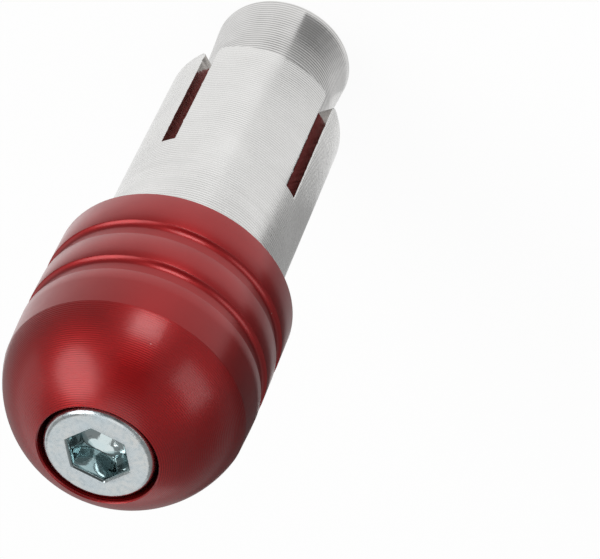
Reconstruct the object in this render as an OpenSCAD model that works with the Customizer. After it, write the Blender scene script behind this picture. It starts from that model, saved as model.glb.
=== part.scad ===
// Handlebar end plug with an expanding fixing.
// A turned end weight carries a slotted spigot that slides into the handlebar.
// A slotted sleeve takes up the space between the spigot and a wider bar.
// A cap screw through the weight draws a threaded wedge cone into the spigot,
// which spreads the spigot and the sleeve until they grip the bar.
//
// Frame: +Z runs along the plug's axis, from the handlebar out to the nose.
// The origin is on the axis, at the shoulder that rests on the end of the bar.

/* [End weight] */
// Diameter of the end weight
weight_d = 22; // [19:0.5:28]
// Length of its straight side, from the shoulder to the dome
weight_side_len = 12.4; // [12:0.1:22]
// Bevel round the edge of the shoulder
shoulder_bevel = 0.3; // [0.1:0.1:0.8]
// Small bevel round the mouth in the nose
mouth_bevel = 0.1; // [0.05:0.05:0.3]
// Clearance hole for the screw
screw_hole_d = 6.4; // [6.2:0.1:7]

/* [Ring grooves] */
// Number of grooves round the side
groove_count = 2; // [0:1:2]
// From the shoulder to the first groove
groove_start = 4; // [1.5:0.1:4.5]
// From one groove to the next
groove_pitch = 4.9; // [2.5:0.1:5.2]
// Width of a groove
groove_w = 1.85; // [1:0.05:2.2]
// Depth of a groove
groove_depth = 0.42; // [0.2:0.02:0.8]
// Radius in the two corners of a groove
groove_corner_r = 0.35; // [0.1:0.05:0.45]

/* [Spigot] */
// Outer diameter of the slotted spigot
spigot_d = 14; // [13:0.1:14.6]
// Length of the spigot from the shoulder
spigot_len = 26; // [21:0.5:29]
// Length of the cuts that divide it into fingers
spigot_slot_len = 14; // [8:0.5:18]
// Width of those cuts
spigot_slot_w = 1.5; // [1:0.1:2.5]
// Number of cuts in the spigot
spigot_slot_count = 4; // [2:1:6]

/* [Sleeve] */
// Outer diameter of the sleeve, for the bore of the handlebar
sleeve_d = 17.2; // [16.6:0.1:18.4]
// Length of the sleeve
sleeve_len = 26.5; // [22:0.5:30]
// Length of the cuts in the sleeve
sleeve_slot_len = 15; // [8:0.5:20]
// Width of the cuts in the sleeve
sleeve_slot_w = 1.5; // [1:0.1:2.5]
// Number of cuts in the sleeve
sleeve_slot_count = 4; // [2:1:6]
// Bevel on both ends of the sleeve
sleeve_bevel = 0.3; // [0.1:0.1:0.6]

/* [Wedge cone] */
// Diameter of the cone's wide end
cone_d = 13.7; // [13.3:0.1:14.5]
// Length of the cone
cone_len = 19; // [16:0.5:22]
// How far the cone stands out of the sleeve
cone_out = 10.6; // [9:0.1:12]
// Slope of the cone's side, in degrees
cone_slope = 3.7; // [3:0.1:5]
// Bevel round the wide end
cone_bevel = 0.3; // [0.1:0.1:0.6]
// Bevel at both ends of its threaded bore
thread_bevel = 0.4; // [0.1:0.1:0.8]

/* [Cap screw] */
// Diameter of the thread
screw_d = 6; // [6:0.1:6]
// Length of the screw under its head
screw_len = 50; // [45:1:52]
// Diameter of the head
head_d = 10; // [9.4:0.1:10.4]
// Height of the head
head_h = 6; // [5:0.5:6.5]
// Radius on the top edge of the head
head_edge_r = 0.4; // [0.2:0.1:1]
// Width of the hexagon socket across its flats
socket_af = 5; // [4:0.5:5]
// Depth of the hexagon socket
socket_depth = 3; // [2:0.25:3.5]
// How far the head stands out of the nose
head_proud = 0; // [-0.5:0.1:0.5]
// Rotation of the socket about the axis
socket_turn = 25; // [0:1:59]

/* [Fits] */
// Radial gap between the screw's head and its recess
head_gap = 0.3; // [0.15:0.05:0.5]
// Radial gap between the spigot and the sleeve
sleeve_gap = 0.05; // [0.03:0.01:0.1]
// Radial gap between the cone and the spigot's tapered mouth
cone_gap = 0.05; // [0.03:0.01:0.1]
// Radial gap between the screw's shank and the cone's bore
thread_gap = 0.05; // [0.03:0.01:0.08]

/* [Hidden] */
$fn = 96;

// A cut starts this far outside the solid that it cuts
eps = 0.5;

weight_r = weight_d / 2;
spigot_r = spigot_d / 2;
sleeve_r = sleeve_d / 2;
cone_r = cone_d / 2;
head_r = head_d / 2;
mouth_r = head_r + head_gap;

// The dome is part of a sphere, cut off flat where it meets the mouth's bevel
nose_r = mouth_r + mouth_bevel;
nose_z = weight_side_len + sqrt(weight_r * weight_r - nose_r * nose_r);
head_top_z = nose_z + head_proud;
head_seat_z = head_top_z - head_h;

cone_base_z = -sleeve_len - cone_out;
cone_top_z = cone_base_z + cone_len;
function cone_r_at(z) = cone_r - (z - cone_base_z) * tan(cone_slope);

// The spigot's bore follows the cone's slope, then runs on as the screw's hole
taper_end_z = cone_top_z + 1;
mouth_taper_r = cone_r_at(-spigot_len) + cone_gap;
taper_end_r = cone_r_at(taper_end_z) + cone_gap;

// Where the cuts point: the sleeve's show the spigot's solid fingers
sleeve_slot_turn = 180 / sleeve_slot_count;
spigot_slot_turn = 0;

// Half of a groove's section, from the bottom out past the side of the weight
module groove_section() {
    floor_w = groove_w - 2 * groove_corner_r;
    translate([weight_r - groove_depth, 0]) {
        translate([groove_corner_r, 0])
            square([groove_depth + eps, groove_w]);
        translate([0, groove_corner_r])
            square([groove_depth, floor_w]);
        for (side = [groove_corner_r, groove_w - groove_corner_r])
            translate([groove_corner_r, side])
                circle(r = groove_corner_r);
    }
}

// Section of the weight's outside: bevelled shoulder, straight side and dome
module weight_section() {
    polygon([
        [0, 0],
        [weight_r - shoulder_bevel, 0],
        [weight_r, shoulder_bevel],
        [weight_r, weight_side_len],
        [0, weight_side_len]
    ]);
    translate([0, weight_side_len])
        intersection() {
            circle(r = weight_r);
            square([weight_r, nose_z - weight_side_len]);
        }
}

// Section of the recess for the screw's head, with a bevelled mouth
module head_recess_section() {
    polygon([
        [0, head_seat_z],
        [mouth_r, head_seat_z],
        [mouth_r, nose_z - mouth_bevel],
        [nose_r + eps, nose_z + eps],
        [0, nose_z + eps]
    ]);
}

// Section of the bore in the spigot, tapered to suit the wedge cone
module spigot_bore_section() {
    slope_out = eps * tan(cone_slope);
    polygon([
        [0, -spigot_len - eps],
        [mouth_taper_r + slope_out, -spigot_len - eps],
        [taper_end_r, taper_end_z],
        [0, taper_end_z]
    ]);
}

// Cuts that divide a tube's end into fingers, open at the tube's end_z.
// They run from start_r, which is inside the bore, out past outer_r.
module finger_slots(count, turn, width, length, start_r, outer_r, end_z) {
    for (i = [0 : count - 1])
        rotate([0, 0, turn + i * 360 / count])
            translate([start_r, -width / 2, end_z - eps])
                cube([outer_r + eps - start_r, width, length + eps]);
}

module end_weight() {
    color([0.60, 0.08, 0.10])
    difference() {
        rotate_extrude()
            difference() {
                union() {
                    weight_section();
                    translate([0, -spigot_len])
                        square([spigot_r, spigot_len + eps]);
                }
                for (i = [0 : 1 : groove_count - 1])
                    translate([0, groove_start + i * groove_pitch])
                        groove_section();
                head_recess_section();
                spigot_bore_section();
                square([screw_hole_d / 2, head_seat_z + eps]);
                translate([0, -spigot_len])
                    square([screw_hole_d / 2, spigot_len + eps]);
            }
        finger_slots(spigot_slot_count, spigot_slot_turn, spigot_slot_w,
            spigot_slot_len, screw_hole_d / 2 - eps, spigot_r, -spigot_len);
    }
}

module expansion_sleeve() {
    bore_r = spigot_r + sleeve_gap;
    color([0.80, 0.81, 0.82])
    difference() {
        rotate_extrude()
            polygon([
                [bore_r, 0],
                [bore_r, -sleeve_len],
                [sleeve_r - sleeve_bevel, -sleeve_len],
                [sleeve_r, -sleeve_len + sleeve_bevel],
                [sleeve_r, -sleeve_bevel],
                [sleeve_r - sleeve_bevel, 0]
            ]);
        finger_slots(sleeve_slot_count, sleeve_slot_turn, sleeve_slot_w,
            sleeve_slot_len, bore_r - eps, sleeve_r, -sleeve_len);
    }
}

module wedge_cone() {
    bore_r = screw_d / 2 + thread_gap;
    color([0.74, 0.75, 0.76])
    rotate_extrude()
        polygon([
            [bore_r, cone_base_z + thread_bevel],
            [bore_r + thread_bevel, cone_base_z],
            [cone_r - cone_bevel, cone_base_z],
            [cone_r_at(cone_base_z + cone_bevel), cone_base_z + cone_bevel],
            [cone_r_at(cone_top_z), cone_top_z],
            [bore_r + thread_bevel, cone_top_z],
            [bore_r, cone_top_z - thread_bevel]
        ]);
}

// Cylinder head with a rounded top edge
module screw_head() {
    rotate_extrude()
        union() {
            square([head_r, head_h - head_edge_r]);
            square([head_r - head_edge_r, head_h]);
            translate([head_r - head_edge_r, head_h - head_edge_r])
                circle(r = head_edge_r);
        }
}

// Hexagon socket with the cone that the drill leaves at its bottom
module hex_socket() {
    across_corners = socket_af / cos(30);
    tip_h = socket_af / 2 / tan(60);
    rotate([0, 0, socket_turn])
        translate([0, 0, -socket_depth])
            cylinder(h = socket_depth + eps, d = across_corners, $fn = 6);
    translate([0, 0, -socket_depth - tip_h])
        cylinder(h = tip_h, r1 = 0, r2 = socket_af / 2);
}

module clamp_screw() {
    shank_end_bevel = 0.6;
    color([0.72, 0.77, 0.80])
    translate([0, 0, head_seat_z])
        difference() {
            union() {
                screw_head();
                rotate_extrude()
                    polygon([
                        [0, eps],
                        [screw_d / 2, eps],
                        [screw_d / 2, -screw_len + shank_end_bevel],
                        [screw_d / 2 - shank_end_bevel, -screw_len],
                        [0, -screw_len]
                    ]);
            }
            translate([0, 0, head_h])
                hex_socket();
        }
}

end_weight();
expansion_sleeve();
wedge_cone();
clamp_screw();
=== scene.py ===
"""Looks, camera and light of a handlebar end plug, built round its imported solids."""

import math
import random

import bpy
import numpy as np
from mathutils import Matrix, Vector


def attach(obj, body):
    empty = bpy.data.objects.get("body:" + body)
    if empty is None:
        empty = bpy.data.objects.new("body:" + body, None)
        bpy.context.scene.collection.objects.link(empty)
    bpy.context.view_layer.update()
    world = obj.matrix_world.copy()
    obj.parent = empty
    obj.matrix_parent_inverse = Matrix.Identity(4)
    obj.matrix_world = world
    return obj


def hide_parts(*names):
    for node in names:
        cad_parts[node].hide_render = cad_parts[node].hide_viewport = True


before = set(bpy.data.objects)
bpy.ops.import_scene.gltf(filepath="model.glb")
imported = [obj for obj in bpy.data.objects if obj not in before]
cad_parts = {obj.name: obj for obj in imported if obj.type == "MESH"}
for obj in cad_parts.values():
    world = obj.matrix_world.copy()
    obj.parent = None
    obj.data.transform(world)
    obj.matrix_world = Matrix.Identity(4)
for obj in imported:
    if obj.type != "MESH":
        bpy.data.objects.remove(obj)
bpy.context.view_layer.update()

MM = 0.001
TAU = 2 * math.pi
SEED = 11

# Sizes in millimetres. Z runs from the handlebar out to the nose, 0 at the shoulder.

# Rows of vertices lie this far beside an edge, and a sharp edge is eased by this much
EDGE_ROW = 0.06
EDGE_EASE = 0.015
# Allowance for rounding where heights are compared
TINY = 1e-6

# End weight. Its nose is cut off flat where a sphere has narrowed to the mouth, and the
# dome itself starts with a crease at the end of the side and has its own radius.
WEIGHT_R = 11.0
SPHERE_Z = 12.4
MOUTH_R = 5.3
NOSE_R = 5.4
NOSE_Z = SPHERE_Z + math.sqrt(WEIGHT_R**2 - NOSE_R**2)
CREASE_R = 10.80
CREASE_Z = 14.8
CREASE_EASE = 0.003
CREASE_SPAN_DEG = 0.3
DOME_R = 10.6
DOME_STEPS = 44
SHOULDER_BEVEL = 0.3
SHOULDER_MID_R = 9
SIDE_ROW_Z = 2
# The side is drawn in a little where it starts towards the crease
DRAW_IN = 0.04
DRAW_IN_LEN = 2.8

GROOVE_Z = (4.0, 8.9)
GROOVE_W = 1.85
GROOVE_DEPTH = 0.42
GROOVE_FLOOR_R = WEIGHT_R - GROOVE_DEPTH
GROOVE_HOLLOW_R = 0.8
GROOVE_CORNER_R = 0.15
GROOVE_LIP = 0.05

# Recess for the screw's head. The rows of its mouth are a radius and a depth.
HEAD_H = 6.0
HEAD_SEAT_Z = NOSE_Z - HEAD_H
SCREW_HOLE_R = 3.2
HOLE_CHAMFER = 0.2
RECESS_CORNER = 0.15
RECESS_ROW = 3
MOUTH_ROWS = ((MOUTH_R, 0.14), (MOUTH_R + 0.02, 0.09), (NOSE_R - 0.02, 0.03))

SPIGOT_R = 7.0
SPIGOT_END_Z = -26.0
SPIGOT_SLOT = {"turn": 0.0, "width": 1.5, "top_z": -12.0, "corner": 0.3}
SPIGOT_CHAMFER = 0.2
SPIGOT_FILLET = 0.05
SPIGOT_STEP = 0.7
# Below this the end weight has the spigot's darker red, painted shade for where it sits inside the
# sleeve
SPIGOT_SHADE_Z = -0.3
# A row part way along the spigot and the sleeve's bore
MIDDLE_Z = -6

SLEEVE_R = 8.6
SLEEVE_BORE_R = 7.05
SLEEVE_END_Z = -26.5
SLEEVE_SLOT = {"turn": 45.0, "width": 1.5, "top_z": -11.5, "corner": 0.9}
SLEEVE_BEVEL = 0.3
SLEEVE_BEVEL_EASE = 0.02
SLEEVE_BEVEL_ROW = 0.05
SLEEVE_STEP = 0.16
# Plain wall above the cuts: how far above them it starts, where it ends, and its rows
SLEEVE_WALL_START = 0.3
SLEEVE_WALL_END_Z = -0.5
SLEEVE_WALL_STEP = 0.8
BORE_CHAMFER_W = 0.1
BORE_CHAMFER_LEN = 0.12
# Radius of the inner edge of the sleeve's open end
MOUTH_ROUND = 0.55

# Burr along the sleeve's cuts: its wander to the side and outward, and how it is smoothed
BURR_SHIFT = 0.022
BURR_LIFT = 0.035
BURR_KEEP = 0.6
BURR_PASSES = 2

# Cuts of both tubes: rows near a rounded corner as shares of its radius, columns across
# a cut and a finger, and how far the columns beside a cut stand off and lie low
SLOTS = 4
CORNER_SHARES = (0, 0.02, 0.07, 0.16, 0.3, 0.5, 0.75, 1)
SLOT_CELLS = 4
FINGER_CELLS = 28
EDGE_STEPS = ((0.035, 0.035), (0.09, 0.010), (0.18, 0.0))
EDGE_DROP = 0.08

CONE_BASE_Z = -37.1
CONE_TOP_Z = -18.1
CONE_R = 6.85
CONE_SLOPE = math.tan(math.radians(3.7))
CONE_BEVEL = 0.3
CONE_EASE = 0.02
CONE_FACE_ROW = 0.05
CONE_GAP = 0.05
CONE_COLUMNS = 128
TAPER_TOP_Z = CONE_TOP_Z + 1
TAPER_STEP = 0.02
BORE_BEVEL = 0.4
# Rings of the cone's turning feed: the shallowest is this share of the deepest
RING_PITCH = 0.33
RING_ROWS = 5
RING_DEPTH = 0.020
RING_LEAST = 0.55
RINGLESS_END = 0.1

# Threads. A share runs from 0 at a thread's root to 1 at its crest.
THREAD_PITCH = 1.0
THREAD_STEPS = 8
THREAD_R = 3.0
THREAD_DEPTH = 0.6
THREAD_ROOT_SHARE = 0.25
THREAD_FLANK_SHARE = 0.625
THREAD_START_Z = -10.0
NUT_THREAD_R = 3.05
NUT_THREAD_DEPTH = 0.5
NUT_ROOT_SHARE = 0.75
NUT_FLANK_SHARE = 0.6
NUT_RUN_IN = 0.3

SCREW_LEN = 50.0
SCREW_TIP_Z = HEAD_SEAT_Z - SCREW_LEN
SCREW_COLUMNS = 96
TIP_FLAT_IN = 0.2
TIP_ROW = 0.05
TIP_BEVEL_IN = 0.1
# Fillet under the head: how far out and how far below the head its rows lie
HEAD_FILLET = ((0, 0.3), (0.03, 0.1), (0.12, 0))
HEAD_R = 4.9
HEAD_EDGE_R = 0.6
HEAD_EDGE_STEPS = 7
HEAD_BREAK = 0.15
HEAD_ROW = 3
# Faint ring in the head's bare face: radius and depth
FACE_RING = ((4.25, 0), (4.1, 0.03), (3.9, 0.03), (3.75, 0.012), (3.4, 0.012))
SOCKET_FLAT_R = 2.5
SOCKET_DEPTH = 3.0
SOCKET_TURN = 25.0
# Chamfer round the socket: how far outside its flats, and depth
SOCKET_CHAMFER = ((0.20, 0.012), (0.16, 0.03), (0.02, 0.18), (0, 0.24))
SOCKET_ROWS = (0.25, 0.5, 0.75)
SOCKET_FOOT_IN = 0.05
# Cone that the drill left at the socket's bottom: its half angle, rim and rows
DRILL_HALF_DEG = 60
DRILL_RIM_IN = 0.12
DRILL_RIM_DROP = 0.03
DRILL_ROWS = (0.25, 0.5, 0.75, 0.93)
# Faces inside these limits have the socket's own finish
SOCKET_PAINT_Z = (HEAD_SEAT_Z + 0.5, NOSE_Z - 0.03)
SOCKET_PAINT_R = 1.2 * SOCKET_FLAT_R

SMOOTH_DEG = 32

# Camera: where it aims, from how far, and how it is turned, in millimetres and degrees
CAM_AIM = (3.955, -9.906, -3.488)
CAM_DISTANCE = 238.672
CAM_AZ = 0.618
CAM_EL = 47.806
CAM_ROLL = 157.543
CAM_LENS = 160.87
CAM_SENSOR_W = 36
CAM_CLIP_START = 0.01

# Stage, in metres. Cards that overlap on the floor lie at different heights over it.
FLOOR_SIZE = 6
TARGET_Z = 0.005
LAMP_SPREAD_DEG = 170
ROOM_R = 0.9
ROOM_LEVEL = 0.30
ROOM_TOP_LEVEL = 1.10
ROOM_TOP_R = 0.36
WALL_TOP_Z = 0.6
ROOF_TOP_Z = 0.9
FAR_WALL_R = 0.8
FAR_WALL_FOOT_Z = -0.02
ROOM_LIFT = 0.0002
GREY_LIFT = 0.0003
CARD_LIFT = 0.0004
SECTOR_STEP_DEG = 5
# Grey of the ring close round the cone, from each azimuth on to the next. The last row
# only says where the ring ends.
CONE_SHADE_R = (0.0072, 0.0142)
CONE_SHADES = (
    (-4, 0.27), (-28, 0.33), (-38, 0.41), (-48, 0.50), (-58, 0.60), (-68, 0.70), (-95, 0),
)

# Linear colours of the finishes, and of the painted shade in ring valleys and on the spigot
RED_DEEP, RED_BRIGHT = (0.350, 0.0045, 0.0060), (0.390, 0.0065, 0.0085)
RED_SPECK = (0.62, 0.33, 0.32)
# The spigot's darker reds are painted shade for where it sits inside the sleeve
SPIGOT_SHADE_DEEP, SPIGOT_SHADE_BRIGHT = (0.190, 0.007, 0.006), (0.240, 0.011, 0.010)
SLEEVE_WARM, SLEEVE_PALE = (0.78, 0.775, 0.76), (0.85, 0.845, 0.835)
# The sleeve's valley grey is painted shade in the valleys of its rings
SLEEVE_VALLEY_SHADE, SLEEVE_SPECK = (0.50, 0.50, 0.49), (0.30, 0.28, 0.27)
CUT_DARK, CUT_PALE = (0.50, 0.47, 0.45), (0.66, 0.63, 0.60)
# The cone's valley grey is painted shade in the valleys of its rings
CONE_GREY, CONE_PALE, CONE_VALLEY_SHADE = (0.70, 0.69, 0.68), (0.80, 0.795, 0.785), (0.27, 0.27, 0.265)
ZINC_BLUE, ZINC_YELLOW, ZINC_DULL = (0.49, 0.61, 0.68), (0.74, 0.72, 0.68), (0.50, 0.57, 0.60)
SOCKET_GREEN, SOCKET_PALE, SOCKET_DARK = (0.46, 0.60, 0.63), (0.66, 0.70, 0.69), (0.25, 0.30, 0.30)

# A noise stays mostly between these two, which are stretched over a roughness's range
NOISE_LOW, NOISE_HIGH = 0.3, 0.7
# Over these heights the cone's upper part begins, where it has duller spots
BURNISH_Z = (-32.6, -32.2)
BURNISH_ROUGHER = 0.16
CREASE_BLEND = 0.1


def cone_r_at(z):
    """Radius of the wedge cone at a height."""
    return CONE_R - (z - CONE_BASE_Z) * CONE_SLOPE


def arc(centre, radius, start, end, steps):
    """Points (r, z) on an arc of a section, with its angles in degrees."""
    angles = np.radians(np.linspace(start, end, steps + 1))
    return [(centre[0] + radius * math.cos(a), centre[1] + radius * math.sin(a)) for a in angles]


def rise(r, start, end, step):
    """Points up a straight wall of radius r, without its last one."""
    count = max(1, round(abs(end - start) / step))
    return [(r, start + (end - start) * i / count) for i in range(count)]


# ---- meshes ----


def linked(name, data):
    """A new object with this data, in the scene."""
    obj = bpy.data.objects.new(name, data)
    bpy.context.scene.collection.objects.link(obj)
    return obj


def mesh_object(name, verts, faces, marks=None):
    """A piece from vertices in millimetres, shaded smooth except at its real edges."""
    name += "_look"
    mesh = bpy.data.meshes.new(name)
    mesh.from_pydata((np.asarray(verts) * MM).tolist(), [], faces)
    mesh.validate()
    mesh.polygons.foreach_set("use_smooth", [True] * len(mesh.polygons))
    mesh.set_sharp_from_angle(angle=math.radians(SMOOTH_DEG))
    if marks is not None:
        mesh.polygons.foreach_set("material_index", marks)
    mesh.update()
    return linked(name, mesh)


def ring_verts(radius, z, angles):
    """One ring of vertices, with a radius and a height that may vary round it."""
    radius = np.broadcast_to(radius, angles.shape)
    z = np.broadcast_to(z, angles.shape)
    return np.stack([radius * np.cos(angles), radius * np.sin(angles), z], -1)


def lathe(name, path, columns, closed=False, turn=0.0):
    """Surface of revolution of a path of (r, z). A radius may be a function of the angle.

    An open path starts and ends on the axis, with its two poles given as a radius of 0."""
    angles = math.radians(turn) + TAU * np.arange(columns) / columns
    poles = [] if closed else [path[0], path[-1]]
    rings = path if closed else path[1:-1]
    verts = []
    for r, z in rings:
        verts.append(ring_verts(r(angles) if callable(r) else r, z, angles))
    verts = np.concatenate(verts)
    faces = []
    spans = len(rings) if closed else len(rings) - 1
    for i in range(spans):
        a, b = i * columns, (i + 1) % len(rings) * columns
        for c in range(columns):
            d = (c + 1) % columns
            faces.append((a + c, a + d, b + d, b + c))
    if poles:
        first, last = len(verts), len(verts) + 1
        verts = np.concatenate([verts, [(0, 0, poles[0][1]), (0, 0, poles[1][1])]])
        top = (len(rings) - 1) * columns
        for c in range(columns):
            d = (c + 1) % columns
            faces.append((first, d, c))
            faces.append((last, top + c, top + d))
    return mesh_object(name, verts, faces)


def slot_half_width(slot, end_z, z):
    """Half the width of a cut at a height, wider at its open end where corners are round."""
    from_end = z - end_z
    corner = slot["corner"]
    if from_end >= corner:
        return slot["width"] / 2
    rest = corner - from_end
    return slot["width"] / 2 + corner - math.sqrt(max(0.0, corner**2 - rest**2))


def column_angles(slot, half, radius):
    """Angles of one row's columns over a quarter: across the cut, then across the finger."""
    edge = math.asin(half / radius)
    quarter = TAU / SLOTS
    steps = [s / radius for s, _ in EDGE_STEPS]
    finger = np.linspace(edge + steps[-1], quarter - edge - steps[-1], FINGER_CELLS + 1)
    near = [edge + s for s in steps[:-1]]
    far = [quarter - edge - s for s in reversed(steps[:-1])]
    one = np.concatenate([np.linspace(-edge, edge, SLOT_CELLS + 1), near, finger, far])
    turn = math.radians(slot["turn"])
    return np.concatenate([one + turn + quarter * i for i in range(SLOTS)])


def edge_drops(columns):
    """How far each column of a quarter lies below the round surface beside a cut."""
    drops = np.zeros(columns)
    drops[[0, SLOT_CELLS]] = EDGE_DROP
    for i, (_, drop) in enumerate(EDGE_STEPS):
        drops[SLOT_CELLS + 1 + i] = drop
        drops[columns - 1 - i] = drop
    return np.tile(drops, SLOTS)


def slotted_lathe(name, outer, inner, slot, burr=None):
    """A tube with open-ended cuts. Both paths run from the open end, and their rows up to
    the top of the cuts are at the same heights. Faces of the cuts get material index 1.
    A burr changes the angles and radii of an outer row beside the cuts."""
    end_z = outer[0][1]
    outer_top = sum(1 for r, z in outer if z <= slot["top_z"] + TINY) - 1
    verts = []
    for path, is_outer in ((outer, True), (inner, False)):
        top_r = path[outer_top][0]
        for i, (r, z) in enumerate(path):
            in_cut = i <= outer_top
            half = slot_half_width(slot, end_z, z) if in_cut else slot["width"] / 2
            angles = column_angles(slot, half, r if in_cut else top_r)
            radius = np.full(len(angles), r)
            if is_outer and i < outer_top:
                radius -= edge_drops(len(angles) // SLOTS)
                if burr is not None:
                    burr(i, z, angles, radius)
            verts.append(ring_verts(radius, z, angles))
    n = len(verts[0])
    quarter = n // SLOTS
    faces, marks = [], []

    def add(face, mark=0):
        faces.append(face)
        marks.append(mark)

    def out(i, c):
        return i * n + c % n

    def inn(i, c):
        return (len(outer) + i) * n + c % n

    for c in range(n):
        in_slot = c % quarter < SLOT_CELLS
        for i in range(len(outer) - 1):
            if not (in_slot and i < outer_top):
                add((out(i, c), out(i, c + 1), out(i + 1, c + 1), out(i + 1, c)))
        for i in range(len(inner) - 1):
            if not (in_slot and i < outer_top):
                add((inn(i, c), inn(i + 1, c), inn(i + 1, c + 1), inn(i, c + 1)))
        a, b = len(outer) - 1, len(inner) - 1
        add((out(a, c), out(a, c + 1), inn(b, c + 1), inn(b, c)))
        if in_slot:
            t = outer_top
            add((out(t, c), inn(t, c), inn(t, c + 1), out(t, c + 1)), 1)
        else:
            add((inn(0, c), inn(0, c + 1), out(0, c + 1), out(0, c)))
        for i in range(outer_top):
            wall = (out(i, c), out(i + 1, c), inn(i + 1, c), inn(i, c))
            if c % quarter == SLOT_CELLS:
                add(wall, 1)
            elif c % quarter == 0:
                add(wall[::-1], 1)
    return mesh_object(name, np.concatenate(verts), faces, marks)


# ---- the four pieces ----


def cut_heights(end_z, top_z, corner, step):
    """Heights of the rows beside a cut, close together where its corners are round."""
    near = [end_z + corner * s for s in CORNER_SHARES]
    count = round((top_z - near[-1]) / step)
    return near + list(np.linspace(near[-1], top_z, count + 1)[1:])


def groove_path(z):
    """Section of a ring groove: hollowed by a round tool, with a steep wall at the nose."""
    lip, hollow, corner = GROOVE_LIP, GROOVE_HOLLOW_R, GROOVE_CORNER_R
    ease = 0.3 * lip
    top = z + GROOVE_W
    rim = WEIGHT_R - lip
    turn = math.degrees(math.acos((GROOVE_FLOOR_R + hollow - rim) / hollow))
    hollow_z = z + hollow * math.sin(math.radians(turn))
    return [
        (WEIGHT_R, z - lip),
        (WEIGHT_R - ease, z - ease),
        *arc((GROOVE_FLOOR_R + hollow, hollow_z), hollow, 180 + turn, 180, steps=9),
        (GROOVE_FLOOR_R, (hollow_z + top) / 2),
        *arc((GROOVE_FLOOR_R + corner, top - corner), corner, 180, 90, steps=5),
        (rim, top),
        (WEIGHT_R - ease, top + ease),
        (WEIGHT_R, top + lip),
    ]


def dome_path():
    """Arc from the crease at the end of the side to the mouth, bulging by its own radius."""
    a, b = Vector((CREASE_R, CREASE_Z)), Vector((NOSE_R, NOSE_Z))
    chord = b - a
    middle = (a + b) / 2
    inward = Vector((-chord.y, chord.x)).normalized()
    centre = middle + inward * math.sqrt(DOME_R**2 - (chord.length / 2) ** 2)
    start, end = (math.degrees(math.atan2(p.y - centre.y, p.x - centre.x)) for p in (a, b))
    near = start + CREASE_SPAN_DEG
    return arc(centre, DOME_R, start, near, 2)[:-1] + arc(centre, DOME_R, near, end, DOME_STEPS)


def make_end_weight():
    """Weight with its grooves, dome and recess, and the slotted spigot."""
    heights = cut_heights(SPIGOT_END_Z, SPIGOT_SLOT["top_z"], SPIGOT_SLOT["corner"], SPIGOT_STEP)
    heights = sorted(set(heights) | {TAPER_TOP_Z, TAPER_TOP_Z + TAPER_STEP})
    outer, inner = [], []
    for z in heights:
        chamfer = max(0.0, SPIGOT_CHAMFER - (z - SPIGOT_END_Z))
        outer.append((SPIGOT_R - chamfer, z))
        in_taper = z <= TAPER_TOP_Z + TINY
        inner.append((cone_r_at(z) + CONE_GAP if in_taper else SCREW_HOLE_R, z))
    bevel = SHOULDER_BEVEL
    outer += [
        (SPIGOT_R, MIDDLE_Z), (SPIGOT_R, -SPIGOT_FILLET), (SPIGOT_R + SPIGOT_FILLET, 0),
        (SHOULDER_MID_R, 0), (WEIGHT_R - bevel - EDGE_ROW, 0), (WEIGHT_R - bevel, EDGE_EASE),
        (WEIGHT_R - bevel / 2, bevel / 2),
        (WEIGHT_R - EDGE_EASE, bevel), (WEIGHT_R, bevel + EDGE_ROW), (WEIGHT_R, SIDE_ROW_Z),
    ]
    for z in GROOVE_Z:
        outer += groove_path(z)
    outer.append((WEIGHT_R - DRAW_IN, CREASE_Z - DRAW_IN_LEN))
    outer.append((CREASE_R + CREASE_EASE, CREASE_Z - EDGE_ROW))
    outer += dome_path()
    seat_z, corner = HEAD_SEAT_Z, RECESS_CORNER
    inner += [
        (SCREW_HOLE_R, 0), (SCREW_HOLE_R, seat_z - HOLE_CHAMFER),
        (SCREW_HOLE_R + HOLE_CHAMFER, seat_z), (MOUTH_R - corner, seat_z),
        (MOUTH_R, seat_z + corner), (MOUTH_R, NOSE_Z - RECESS_ROW),
    ]
    inner += [(r, NOSE_Z - depth) for r, depth in MOUTH_ROWS]
    weight = slotted_lathe("end_weight", outer, inner, SPIGOT_SLOT)
    # Painted shade: faces on the spigot get the darker red, for where it sits inside the sleeve
    for face in weight.data.polygons:
        if face.center.z < SPIGOT_SHADE_Z * MM:
            face.material_index = 1
    return weight


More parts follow.
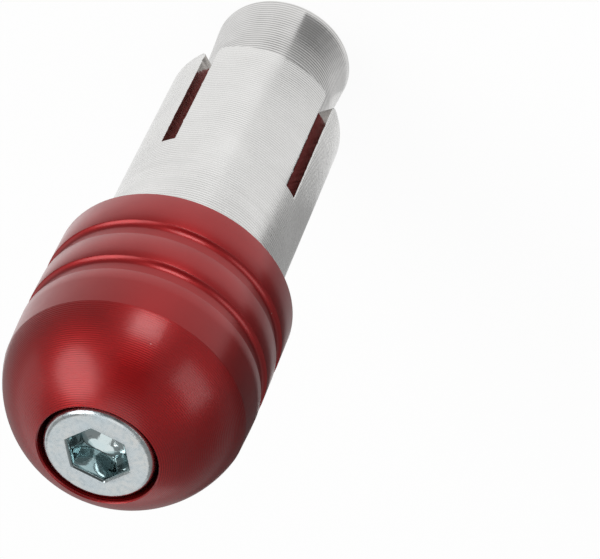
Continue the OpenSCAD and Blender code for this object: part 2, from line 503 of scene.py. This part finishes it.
def make_sleeve():
    """Slotted sleeve, with the ragged burr that the saw left along its cuts."""
    top_z, corner = SLEEVE_SLOT["top_z"], SLEEVE_SLOT["corner"]
    heights = cut_heights(SLEEVE_END_Z, top_z, corner, SLEEVE_STEP)
    outer, inner = [], []
    for z in heights:
        from_end = z - SLEEVE_END_Z
        outer.append((SLEEVE_R - max(0.0, SLEEVE_BEVEL - from_end), z))
        inward = max(0.0, 1 - from_end / MOUTH_ROUND)
        inner.append((SLEEVE_BORE_R + MOUTH_ROUND * (1 - math.sqrt(1 - inward**2)), z))
    bevel, ease, row = SLEEVE_BEVEL, SLEEVE_BEVEL_EASE, SLEEVE_BEVEL_ROW
    outer += rise(SLEEVE_R, top_z + SLEEVE_WALL_START, SLEEVE_WALL_END_Z, SLEEVE_WALL_STEP)
    outer += [
        (SLEEVE_R, -bevel - row), (SLEEVE_R - ease, -bevel), (SLEEVE_R - bevel + ease, -ease),
        (SLEEVE_R - bevel - row, 0),
    ]
    inner += [
        (SLEEVE_BORE_R, MIDDLE_Z), (SLEEVE_BORE_R, -BORE_CHAMFER_LEN),
        (SLEEVE_BORE_R + BORE_CHAMFER_W, 0),
    ]
    rng = np.random.default_rng(SEED)
    wander = rng.normal(0, 1, (len(outer), SLOTS, 2))
    for _ in range(BURR_PASSES):
        wander[1:] = BURR_KEEP * wander[1:] + (1 - BURR_KEEP) * wander[:-1]

    def burr(i, z, angles, radius):
        if z <= SLEEVE_END_Z + corner:
            return
        quarter = len(angles) // SLOTS
        for k in range(SLOTS):
            for side, column in ((0, 0), (1, SLOT_CELLS)):
                shift = wander[i, k, side]
                angles[k * quarter + column] += shift * BURR_SHIFT / SLEEVE_R
                radius[k * quarter + column] += BURR_LIFT * abs(shift)

    return slotted_lathe("expansion_sleeve", outer, inner, SLEEVE_SLOT, burr)


def thread_share(z, angles):
    """0 at a thread's root and 1 at its crest, round a row at height z."""
    phase = np.mod(z / THREAD_PITCH - angles / TAU, 1.0)
    return np.abs(2 * phase - 1)


def outer_thread(z, fade, largest):
    """Radius of the screw's thread round one row. Its depth runs out where fade goes to 0."""

    def radius(angles):
        share = (thread_share(z, angles) - THREAD_ROOT_SHARE) / THREAD_FLANK_SHARE
        crest = np.clip(share, 0, 1)
        return np.minimum(THREAD_R - THREAD_DEPTH * fade * (1 - crest), largest)

    return radius


def inner_thread(z, depth):
    """Radius of the cone's thread round one row."""

    def radius(angles):
        ridge = np.clip((NUT_ROOT_SHARE - thread_share(z, angles)) / NUT_FLANK_SHARE, 0, 1)
        return NUT_THREAD_R + BORE_BEVEL * (1 - depth) - NUT_THREAD_DEPTH * depth * ridge

    return radius


def make_cone():
    """Wedge cone with the rings of its turning feed, and its threaded bore."""
    rng = random.Random(SEED)
    face_r, ease = CONE_R - CONE_BEVEL, CONE_EASE
    start = CONE_BASE_Z + CONE_BEVEL
    path = [
        (face_r - CONE_FACE_ROW, CONE_BASE_Z), (face_r, CONE_BASE_Z + ease),
        (cone_r_at(start) - ease, start - ease),
    ]
    for ring in range(int((CONE_TOP_Z - RINGLESS_END - start) / RING_PITCH)):
        depth = RING_DEPTH * rng.uniform(RING_LEAST, 1.0)
        for row in range(RING_ROWS):
            share = row / RING_ROWS
            z = start + (ring + share) * RING_PITCH
            path.append((cone_r_at(z) - depth * 4 * share * (1 - share), z))
    top_r = cone_r_at(CONE_TOP_Z)
    path += [(top_r - ease, CONE_TOP_Z - ease), (top_r - EDGE_ROW, CONE_TOP_Z)]
    step = THREAD_PITCH / THREAD_STEPS
    rows = round((CONE_TOP_Z - CONE_BASE_Z) / step)
    for i in range(rows + 1):
        z = CONE_TOP_Z - i * (CONE_TOP_Z - CONE_BASE_Z) / rows
        from_face = min(CONE_TOP_Z - z, z - CONE_BASE_Z)
        depth = min(1.0, from_face / (BORE_BEVEL + NUT_RUN_IN))
        path.append((inner_thread(z, depth), z))
    return lathe("wedge_cone", path, CONE_COLUMNS, closed=True)


def hexagon(grow=0.0):
    """Radius round the hexagon socket, whose first corner is at the turn of the socket."""

    def radius(angles):
        sixth = TAU / 6
        nudge = 1e-9  # keeps rounding from moving a corner to the wrong side
        off = np.mod(angles - math.radians(SOCKET_TURN) + nudge, sixth) - sixth / 2
        return SOCKET_FLAT_R / np.cos(off) + grow

    return radius


def make_screw():
    """Cap screw with its thread, rounded head and hexagon socket."""
    root_r = THREAD_R - THREAD_DEPTH
    path = [(0, SCREW_TIP_Z), (root_r - TIP_FLAT_IN, SCREW_TIP_Z)]
    rows = round((THREAD_START_Z - SCREW_TIP_Z) / (THREAD_PITCH / THREAD_STEPS))
    for i in range(rows + 1):
        z = SCREW_TIP_Z + TIP_ROW + i * (THREAD_START_Z - SCREW_TIP_Z - TIP_ROW) / rows
        from_tip = z - SCREW_TIP_Z
        in_bevel = from_tip < THREAD_DEPTH
        largest = root_r + from_tip - TIP_BEVEL_IN if in_bevel else THREAD_R
        fade = min(1.0, (THREAD_START_Z - z) / THREAD_PITCH)
        path.append((outer_thread(z, fade, largest), z))
    seat_z, edge = HEAD_SEAT_Z, HEAD_EDGE_R
    path += [(THREAD_R + out, seat_z - below) for out, below in HEAD_FILLET]
    path += [
        (HEAD_R - HEAD_BREAK, seat_z), (HEAD_R, seat_z + HEAD_BREAK), (HEAD_R, seat_z + HEAD_ROW),
    ]
    path += arc((HEAD_R - edge, NOSE_Z - edge), edge, 0, 90, HEAD_EDGE_STEPS)
    path += [(r, NOSE_Z - depth) for r, depth in FACE_RING]
    path += [(hexagon(grow), NOSE_Z - depth) for grow, depth in SOCKET_CHAMFER]
    path += [(hexagon(), NOSE_Z - SOCKET_DEPTH * s) for s in SOCKET_ROWS]
    floor_z = NOSE_Z - SOCKET_DEPTH
    path += [(hexagon(), floor_z + EDGE_ROW), (hexagon(-SOCKET_FOOT_IN), floor_z)]
    path.append((SOCKET_FLAT_R - DRILL_RIM_IN, floor_z - DRILL_RIM_DROP))
    drill_h = SOCKET_FLAT_R / math.tan(math.radians(DRILL_HALF_DEG))
    path += [(SOCKET_FLAT_R * (1 - s), floor_z - drill_h * s) for s in DRILL_ROWS]
    path.append((0, floor_z - drill_h))
    screw = lathe("clamp_screw", path, SCREW_COLUMNS, turn=SOCKET_TURN)
    low, high = SOCKET_PAINT_Z
    for face in screw.data.polygons:
        centre = face.center / MM
        if low < centre.z < high and centre.xy.length < SOCKET_PAINT_R:
            face.material_index = 1
    return screw


# ---- materials ----


class Paint:
    """Nodes of one material, with short calls for those that the finishes share."""

    def __init__(self, name):
        self.material = bpy.data.materials.new(name)
        self.material.use_nodes = True
        self.nodes = self.material.node_tree.nodes
        self.links = self.material.node_tree.links
        self.shader = self.nodes["Principled BSDF"]
        self.place = self.add("ShaderNodeTexCoord").outputs["Object"]

    def add(self, kind, **settings):
        node = self.nodes.new(kind)
        for key, value in settings.items():
            setattr(node, key, value)
        return node

    def put(self, socket, value):
        if isinstance(value, bpy.types.NodeSocket):
            self.links.new(value, socket)
        else:
            socket.default_value = value

    def math(self, operation, a, b=0.0):
        node = self.add("ShaderNodeMath", operation=operation)
        self.put(node.inputs[0], a)
        self.put(node.inputs[1], b)
        return node.outputs[0]

    def plus(self, a, b):
        return self.math("ADD", a, b)

    def times(self, a, b):
        return self.math("MULTIPLY", a, b)

    def axes(self):
        """The object's three coordinates, in metres."""
        split = self.add("ShaderNodeSeparateXYZ")
        self.put(split.inputs[0], self.place)
        return split.outputs

    def radius(self, x, y):
        """Distance from the axis."""
        return self.math("SQRT", self.plus(self.times(x, x), self.times(y, y)))

    def turned_place(self, round_share):
        """Coordinates that run along a turned surface and hardly round it."""
        x, y, z = self.axes()
        join = self.add("ShaderNodeCombineXYZ")
        self.put(join.inputs[0], self.radius(x, y))
        self.put(join.inputs[1], self.times(self.math("ARCTAN2", y, x), round_share * MM))
        self.put(join.inputs[2], z)
        return join.outputs[0]

    def noise(self, per_mm, place=None, detail=3.0, rough=0.5):
        node = self.add("ShaderNodeTexNoise")
        self.put(node.inputs["Vector"], self.place if place is None else place)
        node.inputs["Scale"].default_value = per_mm / MM
        node.inputs["Detail"].default_value = detail
        node.inputs["Roughness"].default_value = rough
        return node.outputs["Fac"]

    def ramp(self, value, low, high, out_low=0.0, out_high=1.0):
        node = self.add("ShaderNodeMapRange")
        for socket, v in zip(node.inputs, (value, low, high, out_low, out_high)):
            self.put(socket, v)
        return node.outputs[0]

    def spread(self, noise, least, most):
        """A noise's usual range, spread from least to most."""
        return self.ramp(noise, NOISE_LOW, NOISE_HIGH, least, most)

    def mix(self, share, a, b):
        """The colour a where the share is 0 and b where it is 1."""
        node = self.add("ShaderNodeMix", data_type="RGBA")
        self.put(node.inputs["Factor"], share)
        for key, value in (("A", a), ("B", b)):
            socket = [s for s in node.inputs if s.name == key and s.type == "RGBA"][0]
            self.put(socket, value if isinstance(value, bpy.types.NodeSocket) else (*value, 1))
        return [s for s in node.outputs if s.type == "RGBA"][0]

    def bump(self, height, distance_mm, under=None):
        node = self.add("ShaderNodeBump")
        node.inputs["Strength"].default_value = 1.0
        node.inputs["Distance"].default_value = distance_mm * MM
        self.put(node.inputs["Height"], height)
        if under is not None:
            self.put(node.inputs["Normal"], under)
        return node.outputs["Normal"]

    def finish(self, color, roughness, normal, **constants):
        self.put(self.shader.inputs["Base Color"], color)
        self.put(self.shader.inputs["Roughness"], roughness)
        self.put(self.shader.inputs["Normal"], normal)
        for key, value in constants.items():
            self.shader.inputs[key.replace("_", " ")].default_value = value
        return self.material


def specks(paint, per_mm, size, share):
    """1 on a few small specks and 0 elsewhere."""
    node = paint.add("ShaderNodeTexVoronoi")
    paint.put(node.inputs["Vector"], paint.place)
    node.inputs["Scale"].default_value = per_mm / MM
    close = paint.ramp(node.outputs["Distance"], size, size * 0.5)
    pick = paint.add("ShaderNodeSeparateColor")
    paint.put(pick.inputs[0], node.outputs["Color"])
    return paint.times(close, paint.math("GREATER_THAN", pick.outputs[0], 1 - share))


def rings(paint, z, pitch_mm, wobble=0.6):
    """Wave of a turning feed along the axis, from -1 to 1."""
    drift = paint.times(paint.noise(per_mm=0.25), wobble * TAU)
    return paint.math("SINE", paint.plus(paint.times(z, TAU / (pitch_mm * MM)), drift))


def valley_shading(paint, wave, shallow, deep, per_mm, least, strength):
    """Painted shade in the valleys of a feed's wave: how grey they are, which is less in some
    patches.
    """
    patch = paint.ramp(paint.noise(per_mm), 0.35, 0.65, least, 1.0)
    return paint.times(paint.ramp(wave, shallow, deep), paint.times(patch, strength))


def red_anodised():
    """Satin anodising under a clear coat, with the feed's rings on the dome alone."""
    p = Paint("red_anodised")
    x, y, z = p.axes()
    speck = specks(p, per_mm=0.8, size=0.07, share=0.12)
    color = p.mix(p.noise(per_mm=0.35), RED_DEEP, RED_BRIGHT)
    color = p.mix(p.times(speck, 0.40), color, RED_SPECK)
    rough = p.spread(p.noise(per_mm=0.6, detail=4), 0.42, 0.49)
    on_dome = p.ramp(z, (CREASE_Z - CREASE_BLEND) * MM, (CREASE_Z + CREASE_BLEND) * MM)
    along = p.math("SUBTRACT", z, p.times(p.radius(x, y), 0.9))
    feed = p.times(rings(p, along, pitch_mm=0.25), p.times(on_dome, 2.2))
    fine = p.noise(per_mm=5.0, place=p.turned_place(round_share=0.6), rough=0.6)
    normal = p.bump(p.plus(feed, fine), distance_mm=0.0032)
    normal = p.bump(p.noise(per_mm=14.0, detail=2), distance_mm=0.0012, under=normal)
    return p.finish(
        color, rough, normal, Metallic=1.0, Coat_Weight=0.92, Coat_Roughness=0.25, Coat_IOR=1.50
    )


def bare_aluminium():
    """Turned aluminium, with fine rings whose valleys get greyer painted shade, and a few dark
    specks.
    """
    p = Paint("bare_aluminium")
    turned = p.turned_place(round_share=0.25)
    wave = rings(p, p.axes()[2], pitch_mm=0.30)
    fine = p.noise(per_mm=7.0, place=turned, rough=0.6)
    height = p.plus(p.times(wave, 1.3), p.times(fine, 0.9))
    # Painted shade: the rings' valleys are coloured greyer, more in some patches than in others
    painted_valley_shade = valley_shading(p, wave, 0.2, -1.0, per_mm=0.12, least=0.25, strength=0.85)
    speck = specks(p, per_mm=0.55, size=0.07, share=0.12)
    color = p.mix(p.noise(per_mm=0.4), SLEEVE_WARM, SLEEVE_PALE)
    color = p.mix(painted_valley_shade, color, SLEEVE_VALLEY_SHADE)
    color = p.mix(p.times(speck, 0.75), color, SLEEVE_SPECK)
    rough = p.spread(p.noise(per_mm=1.5, place=turned, detail=4), 0.22, 0.32)
    return p.finish(color, rough, p.bump(height, distance_mm=0.0060), Metallic=1.0)


def saw_cut():
    """Bare aluminium where the saw went through, with its marks across the wall."""
    p = Paint("saw_cut")
    marks = rings(p, p.axes()[2], pitch_mm=0.16, wobble=1.5)
    grain = p.noise(per_mm=3.0)
    color = p.mix(p.ramp(marks, -1.0, 1.0), CUT_DARK, CUT_PALE)
    normal = p.bump(p.plus(p.times(marks, 0.4), grain), distance_mm=0.0006)
    return p.finish(color, p.spread(grain, 0.14, 0.22), normal, Metallic=1.0)


def red_spigot_shade():
    """The weight's red anodising, darker and duller on the spigot, as painted shade for where it
    sits inside the sleeve.
    """
    p = Paint("red_spigot_shade")
    color = p.mix(p.noise(per_mm=1.5), SPIGOT_SHADE_DEEP, SPIGOT_SHADE_BRIGHT)
    rough = p.spread(p.noise(per_mm=3.0), 0.42, 0.55)
    normal = p.bump(p.noise(per_mm=8.0), distance_mm=0.003)
    return p.finish(color, rough, normal, Metallic=1.0, Coat_Weight=0.4, Coat_Roughness=0.3)


def cone_aluminium():
    """Turned aluminium with coarser rings, whose valleys get grey painted shade that follows the
    valleys of the mesh.
    """
    p = Paint("cone_aluminium")
    turned = p.turned_place(round_share=0.3)
    z = p.axes()[2]
    start = p.math("SUBTRACT", z, (CONE_BASE_Z + CONE_BEVEL) * MM)
    wave = p.math("COSINE", p.times(start, TAU / (RING_PITCH * MM)))
    # Painted shade: the rings' valleys are coloured grey, more in some patches than in others
    painted_valley_shade = valley_shading(p, wave, 0.4, -0.9, per_mm=0.15, least=0.35, strength=0.95)
    color = p.mix(p.noise(per_mm=0.5), CONE_GREY, CONE_PALE)
    color = p.mix(painted_valley_shade, color, CONE_VALLEY_SHADE)
    above = p.ramp(z, *(height * MM for height in BURNISH_Z))
    burnished = p.times(above, p.ramp(p.noise(per_mm=0.3), 0.4, 0.6))
    rough = p.spread(p.noise(per_mm=2.0, place=turned, detail=4), 0.24, 0.34)
    rough = p.plus(rough, p.times(burnished, BURNISH_ROUGHER))
    normal = p.bump(p.noise(per_mm=9.0, place=turned, rough=0.6), distance_mm=0.004)
    return p.finish(color, rough, normal, Metallic=1.0)


def zinc_steel():
    """Blue zinc plating on the uneven skin of a forged head."""
    p = Paint("zinc_steel")
    hue = p.mix(p.noise(per_mm=0.45, detail=2), ZINC_BLUE, ZINC_YELLOW)
    color = p.mix(p.ramp(p.noise(per_mm=2.5), 0.45, 0.75), hue, ZINC_DULL)
    rough = p.spread(p.noise(per_mm=1.6, detail=4), 0.18, 0.32)
    normal = p.bump(p.noise(per_mm=1.3, detail=5, rough=0.62), distance_mm=0.030)
    return p.finish(color, rough, normal, Metallic=1.0)


def socket_zinc():
    """Plating inside the socket, where it is glossier and greener."""
    p = Paint("socket_zinc")
    hue = p.mix(p.noise(per_mm=0.8, detail=2), SOCKET_GREEN, SOCKET_PALE)
    color = p.mix(p.ramp(p.noise(per_mm=3.0), 0.6, 0.8), hue, SOCKET_DARK)
    rough = p.spread(p.noise(per_mm=2.0, detail=4), 0.04, 0.12)
    normal = p.bump(p.noise(per_mm=2.2), distance_mm=0.006)
    return p.finish(color, rough, normal, Metallic=1.0)


# ---- stage ----


def stage_mesh(name, verts, faces, material):
    """A mesh of the stage, in metres."""
    mesh = bpy.data.meshes.new(name)
    mesh.from_pydata(verts, [], faces)
    mesh.materials.append(material)
    obj = linked(name, mesh)
    return obj


def plane(name, centre, across, up, width, height, material):
    """A flat rectangle of the stage, spanned by two unit directions."""
    a, u, c = Vector(across) * width / 2, Vector(up) * height / 2, Vector(centre)
    return stage_mesh(name, [c - a - u, c + a - u, c + a + u, c - a + u], [(0, 1, 2, 3)], material)


def direction(az, el):
    """Unit vector at an azimuth from +X and an elevation, in degrees."""
    a, e = math.radians(az), math.radians(el)
    return Vector((math.cos(e) * math.cos(a), math.cos(e) * math.sin(a), math.sin(e)))


def empty_tree(owner):
    """The cleared node tree of a material or world."""
    owner.use_nodes = True
    owner.node_tree.nodes.clear()
    return owner.node_tree


def shine(tree, kind, level, strength=1.0):
    """Output of a grey emission or background."""
    node = tree.nodes.new(kind)
    node.inputs["Color"].default_value = (level, level, level, 1)
    node.inputs["Strength"].default_value = strength
    return node.outputs[0]


def show(tree, kind, shader):
    """Ends a tree with its output node."""
    tree.links.new(shader, tree.nodes.new(kind).inputs["Surface"])


def blend(tree, share, lighting, seen):
    """The shader seen where the share is 1, and the one that lights where it is 0."""
    mix = tree.nodes.new("ShaderNodeMixShader")
    for socket, source in zip(mix.inputs, (share, lighting, seen)):
        tree.links.new(source, socket)
    return mix.outputs[0]


def seen_share(tree):
    """1 for camera, glossy and transmission rays, and 0 for those that light the object."""
    path = tree.nodes.new("ShaderNodeLightPath")
    total = path.outputs["Is Camera Ray"]
    for key in ("Is Glossy Ray", "Is Transmission Ray"):
        node = tree.nodes.new("ShaderNodeMath")
        node.operation = "MAXIMUM"
        tree.links.new(total, node.inputs[0])
        tree.links.new(path.outputs[key], node.inputs[1])
        total = node.outputs[0]
    return total


def add_world(seen=1.0, lighting=0.7):
    """White all round, with less light than it shows."""
    world = bpy.data.worlds.new("studio")
    bpy.context.scene.world = world
    tree = empty_tree(world)
    dim = shine(tree, "ShaderNodeBackground", 1, lighting)
    bright = shine(tree, "ShaderNodeBackground", 1, seen)
    show(tree, "ShaderNodeOutputWorld", blend(tree, seen_share(tree), dim, bright))


def floor_material(seen=0.92, grey=0.88):
    """Pale floor that shows white, with the object's shadow on it."""
    material = bpy.data.materials.new("floor")
    tree = empty_tree(material)
    matte = tree.nodes.new("ShaderNodeBsdfDiffuse")
    matte.inputs["Color"].default_value = (grey, grey, grey, 1)
    share = tree.nodes.new("ShaderNodeMath")
    share.operation = "MULTIPLY"
    share.inputs[1].default_value = seen
    tree.links.new(seen_share(tree), share.inputs[0])
    glow = shine(tree, "ShaderNodeEmission", 1)
    shader = blend(tree, share.outputs[0], matte.outputs[0], glow)
    show(tree, "ShaderNodeOutputMaterial", shader)
    return material


def card_material(name, level):
    """A card that is evenly grey in every light."""
    material = bpy.data.materials.new(name)
    tree = empty_tree(material)
    show(tree, "ShaderNodeOutputMaterial", shine(tree, "ShaderNodeEmission", level))
    return material


def reflected_only(obj):
    """Lets a piece of the stage show in reflections alone, as a studio's dark parts do."""
    obj.visible_camera = False
    obj.visible_diffuse = False
    obj.visible_shadow = False
    return obj


def add_sector(name, az_from, az_to, near, far, low, high, level):
    """Part of a ring round the object, in metres: flat, or a wall where near equals far."""
    steps = max(2, round(abs(az_to - az_from) / SECTOR_STEP_DEG))
    verts = []
    for i in range(steps + 1):
        a = math.radians(az_from + (az_to - az_from) * i / steps)
        for r, z in ((near, low), (far, high)):
            verts.append((r * math.cos(a), r * math.sin(a), z))
    faces = [(2 * i, 2 * i + 1, 2 * i + 3, 2 * i + 2) for i in range(steps)]
    return reflected_only(stage_mesh(name, verts, faces, card_material(name, level)))


def add_light(name, az, el, away, width, height, radiance, shape="RECTANGLE", target_z=TARGET_Z):
    """A soft lamp that faces the axis, with its power from how bright its face is."""
    data = bpy.data.lights.new(name, "AREA")
    data.shape = shape
    data.spread = math.radians(LAMP_SPREAD_DEG)
    data.size, data.size_y = width, height
    area = width * height * (math.pi / 4 if shape == "ELLIPSE" else 1)
    data.energy = radiance * math.pi * area
    lamp = linked(name, data)
    target = Vector((0, 0, target_z))
    lamp.location = target + direction(az, el) * away
    lamp.rotation_mode = "QUATERNION"
    lamp.rotation_quaternion = (lamp.location - target).normalized().to_track_quat("Z", "Y")
    lamp.visible_camera = False


def add_camera():
    """The photograph's camera, rolled so that the standing plug lies as it does there."""
    roll = math.radians(CAM_ROLL)
    back = direction(CAM_AZ, CAM_EL)
    level_right = (-back).cross(Vector((0, 0, 1))).normalized()
    level_up = level_right.cross(-back)
    up = level_up * math.cos(roll) + level_right * math.sin(roll)
    right = level_right * math.cos(roll) - level_up * math.sin(roll)
    data = bpy.data.cameras.new("camera")
    data.lens = CAM_LENS
    data.sensor_width = CAM_SENSOR_W
    data.clip_start = CAM_CLIP_START
    camera = linked("camera", data)
    turn = Matrix((right, up, back)).transposed().to_4x4()
    centre = Vector(CAM_AIM) * MM + back * CAM_DISTANCE * MM
    camera.matrix_world = Matrix.Translation(centre) @ turn
    bpy.context.scene.camera = camera


def add_dark_front(away=0.36, width=0.22, height=0.20, level=0.08):
    """The dark room round the camera, as a rectangle that shows in reflections alone."""
    aim, across = direction(2, 42), direction(92, 0)
    centre = Vector((0, 0, TARGET_Z)) + aim * away
    material = card_material("dark_front", level)
    reflected_only(
        plane("dark_front", centre, across, aim.cross(across), width, height, material)
    )


def add_stage():
    """Floor, lamps, and the grey cards and walls that the metal reflects."""
    floor_z = CONE_BASE_Z * MM
    material = floor_material()
    floor = plane("floor", (0, 0, floor_z), (1, 0, 0), (0, 1, 0), FLOOR_SIZE, FLOOR_SIZE, material)
    # The plug stands on its cone, so the floor stays under the cone in every pose
    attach(floor, "cone")
    add_light("softbox_left", 66, 40, 0.45, 0.30, 0.38, radiance=2.4, shape="ELLIPSE")
    add_light("softbox_low", 5, 0, 0.14, 0.058, 0.062, radiance=3.7, target_z=-0.002)
    add_light("softbox_right", -54, 14, 0.35, 0.22, 0.15, radiance=1.3)
    add_light("softbox_back", 182, 48, 0.50, 0.34, 0.34, radiance=0.52)

    def card(name, az_from, az_to, near, far, level, lift=CARD_LIFT):
        z = floor_z + lift
        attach(add_sector(name, az_from, az_to, near, far, z, z, level), "cone")

    def far_wall(name, az_from, az_to, top_z, level):
        foot_z = FAR_WALL_FOOT_Z
        add_sector(name, az_from, az_to, FAR_WALL_R, FAR_WALL_R, foot_z, top_z, level)

    card("room_floor", 0, 360, 0.074, ROOM_R, ROOM_LEVEL, ROOM_LIFT)
    card("dark_right", -160, -62, 0.050, 0.150, level=0.08)
    far_wall("dark_wall", -140, -72, top_z=0.30, level=0.20)
    card("grey_right", -150, -70, 0.020, 0.050, 0.40, GREY_LIFT)
    card("grey_middle", -70, 2, CONE_SHADE_R[1], 0.045, 0.86, GREY_LIFT)
    for i, ((az_from, level), (az_to, _)) in enumerate(zip(CONE_SHADES, CONE_SHADES[1:])):
        card(f"cone_shade_{i}", az_to, az_from, *CONE_SHADE_R, level)
    add_sector("room_wall", 0, 360, ROOM_R, ROOM_R, floor_z, WALL_TOP_Z, ROOM_LEVEL)
    add_sector("room_roof", 0, 360, ROOM_R, ROOM_TOP_R, WALL_TOP_Z, ROOF_TOP_Z, ROOM_LEVEL)
    add_sector("room_top", 0, 360, ROOM_TOP_R, 0.001, ROOF_TOP_Z, ROOF_TOP_Z, ROOM_TOP_LEVEL)
    add_dark_front()
    far_wall("pale_back", 98, 214, top_z=0.42, level=0.80)


def dress(piece, node, body, slot_name, *materials):
    """Gives a piece its materials and ties it to the solid that it stands for."""
    for material in materials:
        piece.data.materials.append(material)
    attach(piece, body)
    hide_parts(node)


def main():
    """Builds the four pieces, then the stage and the camera."""
    weight, sleeve, cone, screw = make_end_weight(), make_sleeve(), make_cone(), make_screw()
    dress(weight, "end_weight", "root", "red_anodised", red_anodised(), red_spigot_shade())
    dress(sleeve, "expansion_sleeve", "root", "bare_aluminium", bare_aluminium(), saw_cut())
    dress(cone, "wedge_cone", "cone", "cone_aluminium", cone_aluminium())
    dress(screw, "clamp_screw", "screw", "zinc_steel", zinc_steel(), socket_zinc())
    add_world()
    add_stage()
    add_camera()
    bpy.context.scene.view_settings.view_transform = "Standard"


main()
